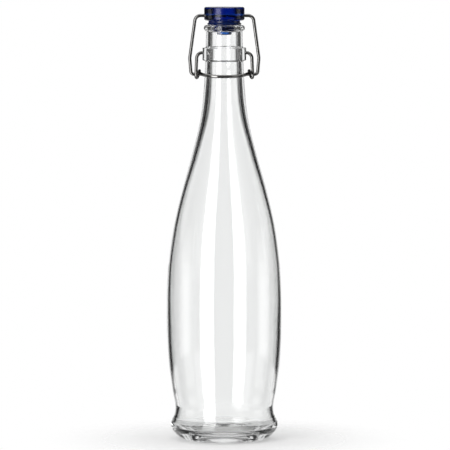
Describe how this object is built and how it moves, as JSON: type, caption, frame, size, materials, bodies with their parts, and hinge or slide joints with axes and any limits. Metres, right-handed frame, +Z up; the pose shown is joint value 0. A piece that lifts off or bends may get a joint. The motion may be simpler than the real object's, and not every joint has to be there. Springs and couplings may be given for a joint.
{
  "type": "swing-top glass bottle",
  "caption": "Tall clear glass growler with a waisted heel, closed by a blue stopper on a hinged wire bail.",
  "frame": {"origin": "centre of the foot, on the table", "axes": "+Z up along the bottle's axis, -Y towards the front, where the lever's bow is, X along the hinge pins"},
  "size_m": [0.0854, 0.0854, 0.3204],
  "materials": {
    "clear_glass": "clear, smooth, uncoloured",
    "blue_plastic": "glossy translucent cobalt blue",
    "blue_rubber": "satin dark blue",
    "steel_wire": "bright drawn stainless wire"
  },
  "bodies": {
    "bottle": {"bottle": "clear_glass"},
    "lever": {"lever_wire": "steel_wire"},
    "bail": {"bail_wire": "steel_wire"},
    "stopper": {"stopper_head": "blue_plastic", "stopper_gasket": "blue_rubber"}
  },
  "joints": [
    {"name": "lever_swing", "type": "hinge", "parent": "bottle", "child": "lever", "pos_m": [0, 0, 0.2866], "axis": [-1, 0, 0], "range_deg": [0, 240]},
    {"name": "bail_swing", "type": "hinge", "parent": "lever", "child": "bail", "pos_m": [0, 0.0008, 0.2706], "axis": [-1, 0, 0], "range_deg": [-160, 0]},
    {"name": "stopper_tilt", "type": "hinge", "parent": "bail", "child": "stopper", "pos_m": [0, 0, 0.3139], "axis": [-1, 0, 0], "range_deg": [-82, 0]}
  ],
  "couplings": [
    {"joint": "bail_swing", "follows": "lever_swing", "ratio": -0.66},
    {"joint": "stopper_tilt", "follows": "lever_swing", "ratio": -0.34}
  ]
}
